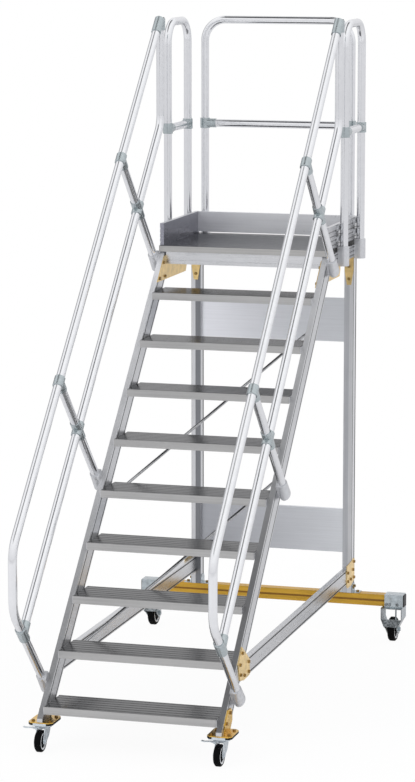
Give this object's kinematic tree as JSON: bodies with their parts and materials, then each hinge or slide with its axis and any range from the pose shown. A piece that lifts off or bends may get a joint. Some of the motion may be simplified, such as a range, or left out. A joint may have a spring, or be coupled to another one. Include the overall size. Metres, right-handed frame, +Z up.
{
  "type": "rolling warehouse ladder",
  "caption": "Mobile platform stair with ribbed treads, handrails, a guarded platform, a rear support frame and swivel castors at the foot with fixed castors behind.",
  "frame": {"origin": "on the floor at the middle of the bounding box", "axes": "+Z up; +Y from the foot of the stair towards its back; +X to the climber's right"},
  "size_m": [1.412, 2.826, 3.2089],
  "materials": {
    "aluminium_profile": "satin extruded profile with fine lengthwise draw lines",
    "aluminium_ribbed": "satin ribbed extrusion",
    "aluminium_tube": "bright polished tube",
    "cast_aluminium": "blasted grey-green casting",
    "aluminium_sheet": "smooth mill-finish sheet",
    "yellow_zinc": "yellow passivated zinc plating",
    "yellow_paint": "semi-gloss yellow powder coat",
    "bright_zinc": "blue-bright zinc plating",
    "black_plastic": "moulded, fine grain",
    "black_rubber": "matte",
    "black_tyre": "matte solid tread",
    "grey_rim": "moulded grey"
  },
  "bodies": {
    "frame": {"base_rail_left": "aluminium_profile", "base_rail_right": "aluminium_profile", "beam_caps": "black_plastic", "beam_saddles": "bright_zinc", "brace_tabs": "bright_zinc", "deck_cross_beams": "aluminium_profile", "deck_planks": "aluminium_ribbed", "deck_side_beams": "aluminium_profile", "diagonal_braces": "bright_zinc", "foot_pads": "black_rubber", "foot_plates": "yellow_zinc", "front_castor_heads": "bright_zinc", "guardrail_knee_bars": "aluminium_tube", "handrail_left": "aluminium_tube", "handrail_right": "aluminium_tube", "handrail_top_fittings": "cast_aluminium", "hex_bolts": "bright_zinc", "knee_rail_left": "aluminium_tube", "knee_rail_right": "aluminium_tube", "leg_foot_angles": "bright_zinc", "leg_top_brackets": "yellow_zinc", "platform_gussets": "yellow_zinc", "post_sleeves": "cast_aluminium", "post_straps": "cast_aluminium", "rail_brackets": "yellow_zinc", "rail_struts": "aluminium_tube", "rear_beam": "yellow_paint", "rear_castor_axles": "bright_zinc", "rear_castor_forks": "bright_zinc", "rear_guardrail": "aluminium_tube", "rear_leg_left": "aluminium_profile", "rear_leg_right": "aluminium_profile", "rear_panels": "aluminium_sheet", "rear_toe_board": "aluminium_ribbed", "side_guardrail_left": "aluminium_tube", "side_guardrail_right": "aluminium_tube", "side_toe_boards": "aluminium_ribbed", "stringer_left": "aluminium_profile", "stringer_right": "aluminium_profile", "strut_sockets": "cast_aluminium", "tread_end_plates": "aluminium_profile", "treads": "aluminium_ribbed", "tube_crosses": "cast_aluminium", "tube_plugs": "black_plastic", "tube_tees": "cast_aluminium"},
    "front_left_swivel": {"front_castor_fork_left": "bright_zinc", "front_castor_pins_left": "bright_zinc"},
    "front_left_wheel": {"front_rim_left": "grey_rim", "front_tyre_left": "black_tyre"},
    "front_left_lever": {"brake_lever_left": "bright_zinc"},
    "front_right_swivel": {"front_castor_fork_right": "bright_zinc", "front_castor_pins_right": "bright_zinc"},
    "front_right_wheel": {"front_rim_right": "grey_rim", "front_tyre_right": "black_tyre"},
    "front_right_lever": {"brake_lever_right": "bright_zinc"},
    "rear_left_wheel": {"rear_rim_left": "grey_rim", "rear_tyre_left": "black_tyre"},
    "rear_right_wheel": {"rear_rim_right": "grey_rim", "rear_tyre_right": "black_tyre"}
  },
  "joints": [
    {"name": "front_left_swivel_turn", "type": "hinge", "parent": "frame", "child": "front_left_swivel", "pos_m": [-0.417, -1.115, 0.11], "axis": [0, 0, 1], "continuous": true},
    {"name": "front_left_wheel_spin", "type": "hinge", "parent": "front_left_swivel", "child": "front_left_wheel", "pos_m": [-0.417, -1.157, 0.05], "axis": [1, 0, 0], "continuous": true},
    {"name": "front_left_brake", "type": "hinge", "parent": "front_left_swivel", "child": "front_left_lever", "pos_m": [-0.444, -1.127, 0.099], "axis": [0, -1, 0], "range_deg": [0, 18], "stiffness_Nm_per_rad": 0.5},
    {"name": "front_right_swivel_turn", "type": "hinge", "parent": "frame", "child": "front_right_swivel", "pos_m": [0.417, -1.115, 0.11], "axis": [0, 0, 1], "continuous": true},
    {"name": "front_right_wheel_spin", "type": "hinge", "parent": "front_right_swivel", "child": "front_right_wheel", "pos_m": [0.417, -1.157, 0.05], "axis": [1, 0, 0], "continuous": true},
    {"name": "front_right_brake", "type": "hinge", "parent": "front_right_swivel", "child": "front_right_lever", "pos_m": [0.39, -1.127, 0.099], "axis": [0, -1, 0], "range_deg": [0, 18], "stiffness_Nm_per_rad": 0.5},
    {"name": "rear_left_wheel_spin", "type": "hinge", "parent": "frame", "child": "rear_left_wheel", "pos_m": [-0.645, 1.315, 0.0625], "axis": [1, 0, 0], "continuous": true},
    {"name": "rear_right_wheel_spin", "type": "hinge", "parent": "frame", "child": "rear_right_wheel", "pos_m": [0.645, 1.315, 0.0625], "axis": [1, 0, 0], "continuous": true}
  ]
}
